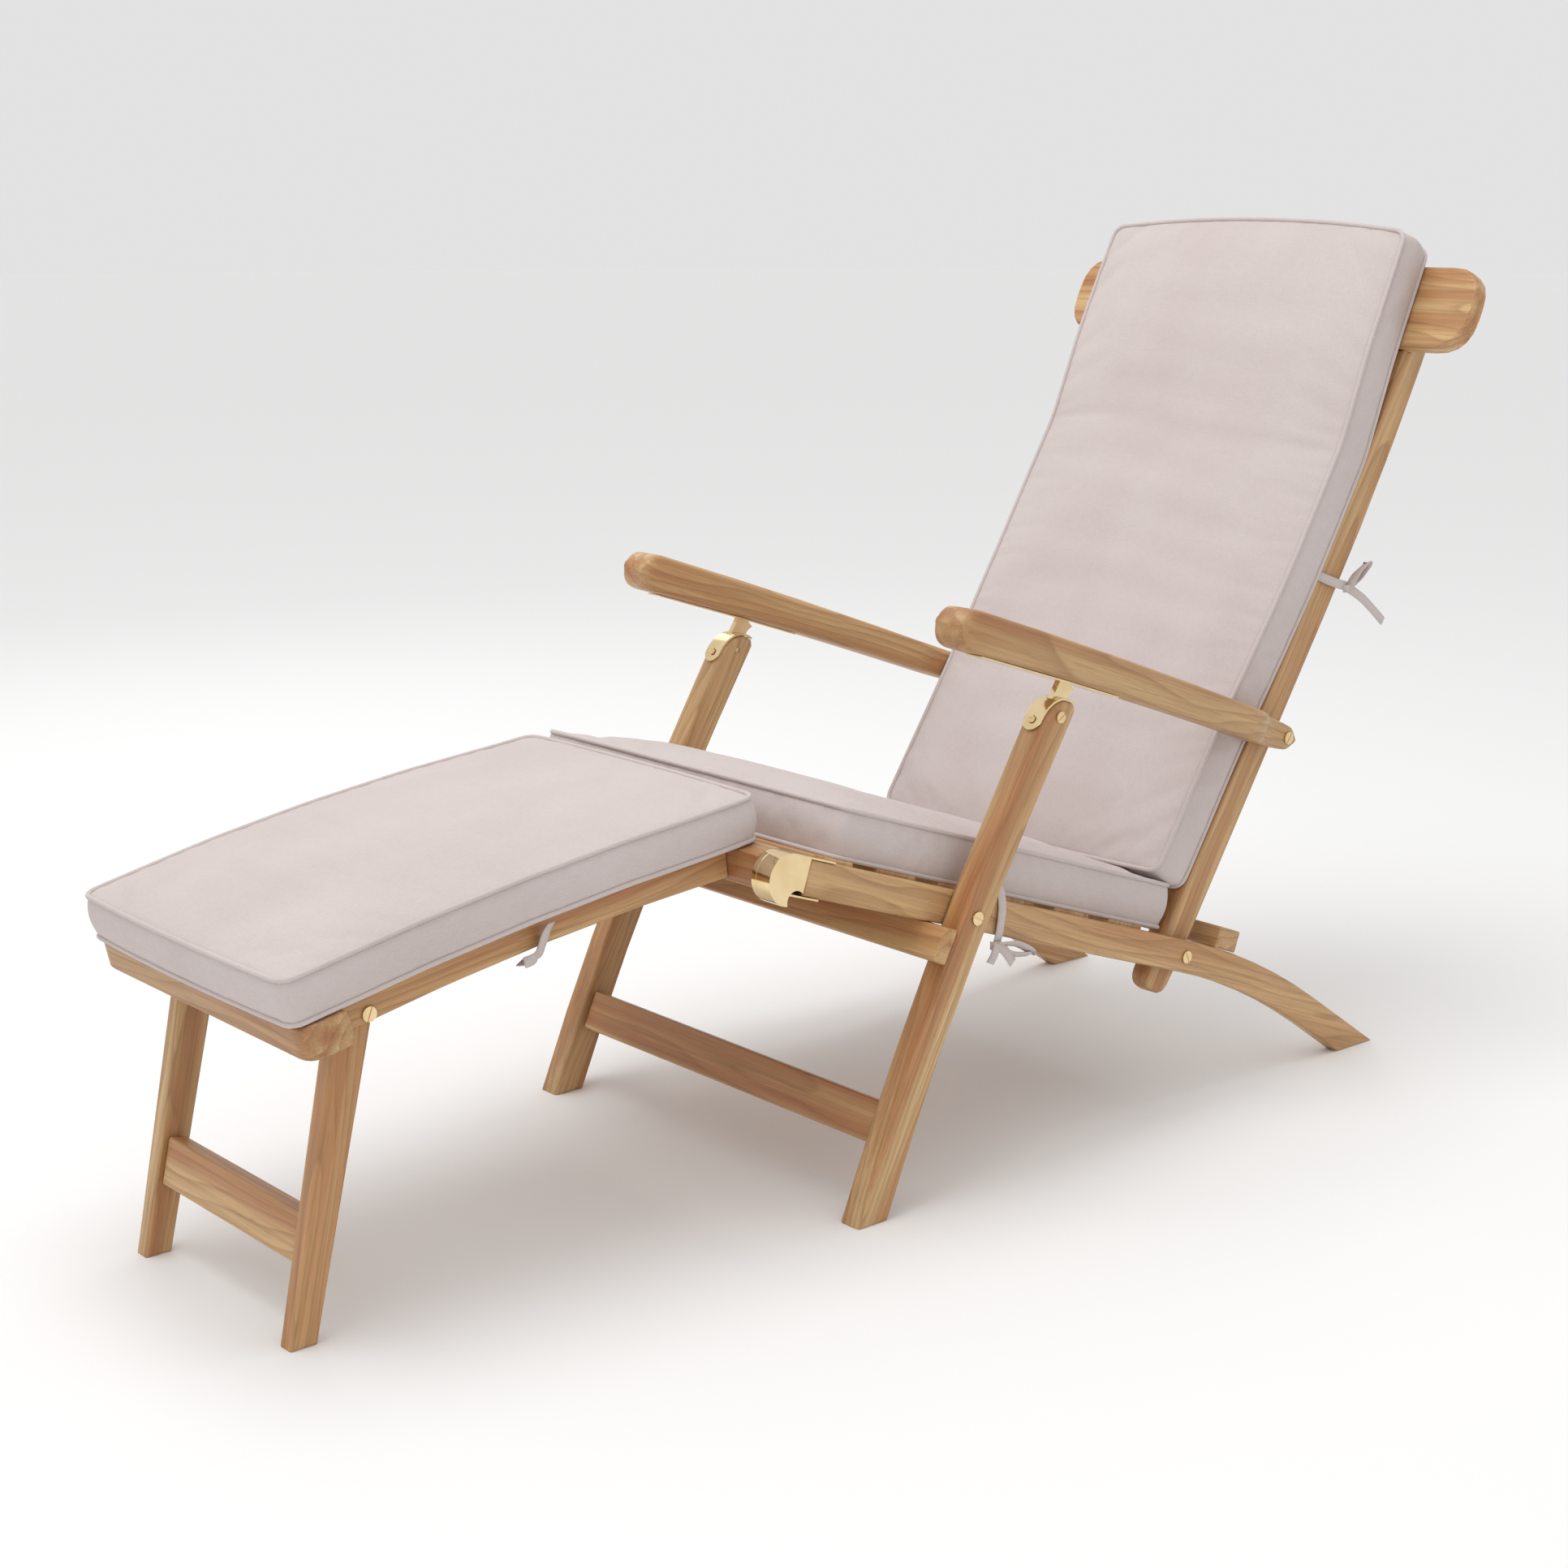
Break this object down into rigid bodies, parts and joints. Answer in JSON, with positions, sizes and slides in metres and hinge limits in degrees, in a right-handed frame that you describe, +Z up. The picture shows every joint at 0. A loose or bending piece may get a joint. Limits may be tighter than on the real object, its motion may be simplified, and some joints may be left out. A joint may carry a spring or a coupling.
{
  "type": "folding deck chair",
  "caption": "Folding teak deck chair with reclining slatted back, shaped arms, hinged footrest on folding legs, brass fittings and tied boxed cushions.",
  "frame": {"origin": "on the floor, at the middle of the chair's length and width", "axes": "+X to the sitter's left, +Y towards the back, +Z up"},
  "size_m": [0.614, 1.5704, 0.9822],
  "materials": {
    "teak": "satin oiled golden-brown teak with visible grain",
    "brass": "polished",
    "cushion_fabric": "matt greige woven outdoor canvas with piping"
  },
  "bodies": {
    "seat_frame": {"side_rail_left": "teak", "side_rail_right": "teak", "rear_cross_rail": "teak", "seat_front_rail": "teak", "seat_slat_1": "teak", "seat_slat_2": "teak", "seat_slat_3": "teak", "seat_slat_4": "teak", "seat_slat_5": "teak", "seat_knuckle_left": "brass", "seat_knuckle_right": "brass", "hinge_pin_left": "brass", "hinge_pin_right": "brass", "back_pivot_screw_left": "brass", "back_pivot_screw_right": "brass", "seat_cushion": "cushion_fabric"},
    "front_legs": {"front_leg_left": "teak", "front_leg_right": "teak", "front_stretcher": "teak", "stop_rail": "teak", "leg_cap_left": "brass", "leg_cap_right": "brass", "strap_screw_left": "brass", "strap_screw_right": "brass", "leg_pivot_screw_left": "brass", "leg_pivot_screw_right": "brass", "arm_pivot_screw_left": "brass", "arm_pivot_screw_right": "brass"},
    "arm_left": {"arm_left": "teak", "arm_plate_left": "brass", "ear_screw_left": "brass"},
    "arm_right": {"arm_right": "teak", "arm_plate_right": "brass", "ear_screw_right": "brass"},
    "back": {"back_stile_left": "teak", "back_stile_right": "teak", "headrail": "teak", "back_bottom_rail": "teak", "back_slat_1": "teak", "back_slat_2": "teak", "back_slat_3": "teak", "back_slat_4": "teak", "back_cushion": "cushion_fabric"},
    "footrest": {"footrest_rail_left": "teak", "footrest_rail_right": "teak", "footrest_front_rail": "teak", "footrest_hinge_beam": "teak", "footrest_slat_1": "teak", "footrest_slat_2": "teak", "footrest_slat_3": "teak", "footrest_slat_4": "teak", "footrest_knuckle_left": "brass", "footrest_knuckle_right": "brass", "foot_leg_screw_left": "brass", "foot_leg_screw_right": "brass", "footrest_cushion": "cushion_fabric"},
    "footrest_legs": {"footrest_leg_left": "teak", "footrest_leg_right": "teak", "footrest_stretcher": "teak"}
  },
  "joints": [
    {"name": "back_fold", "type": "hinge", "parent": "seat_frame", "child": "back", "pos_m": [0, 0.33088, 0.177], "axis": [1, 0, 0], "range_deg": [0, 60], "deforming": ["seat_cushion", "back_cushion"]},
    {"name": "front_legs_fold", "type": "hinge", "parent": "seat_frame", "child": "front_legs", "pos_m": [0, -0.03362, 0.297], "axis": [1, 0, 0], "range_deg": [0, 77]},
    {"name": "arm_left_turn", "type": "hinge", "parent": "front_legs", "child": "arm_left", "pos_m": [0, 0.08238, 0.491], "axis": [1, 0, 0], "range_deg": [-71, 0]},
    {"name": "arm_right_turn", "type": "hinge", "parent": "front_legs", "child": "arm_right", "pos_m": [0, 0.08238, 0.491], "axis": [1, 0, 0], "range_deg": [-71, 0]},
    {"name": "footrest_drop", "type": "hinge", "parent": "seat_frame", "child": "footrest", "pos_m": [0, -0.25962, 0.371], "axis": [1, 0, 0], "range_deg": [0, 33]},
    {"name": "footrest_legs_fold", "type": "hinge", "parent": "footrest", "child": "footrest_legs", "pos_m": [0, -0.68962, 0.309], "axis": [1, 0, 0], "range_deg": [0, 100]}
  ],
  "couplings": [
    {"joint": "front_legs_fold", "follows": "back_fold", "ratio": 1.2659},
    {"joint": "arm_left_turn", "follows": "back_fold", "ratio": -1.167},
    {"joint": "arm_right_turn", "follows": "back_fold", "ratio": -1.167},
    {"joint": "footrest_legs_fold", "follows": "footrest_drop", "ratio": 3}
  ]
}
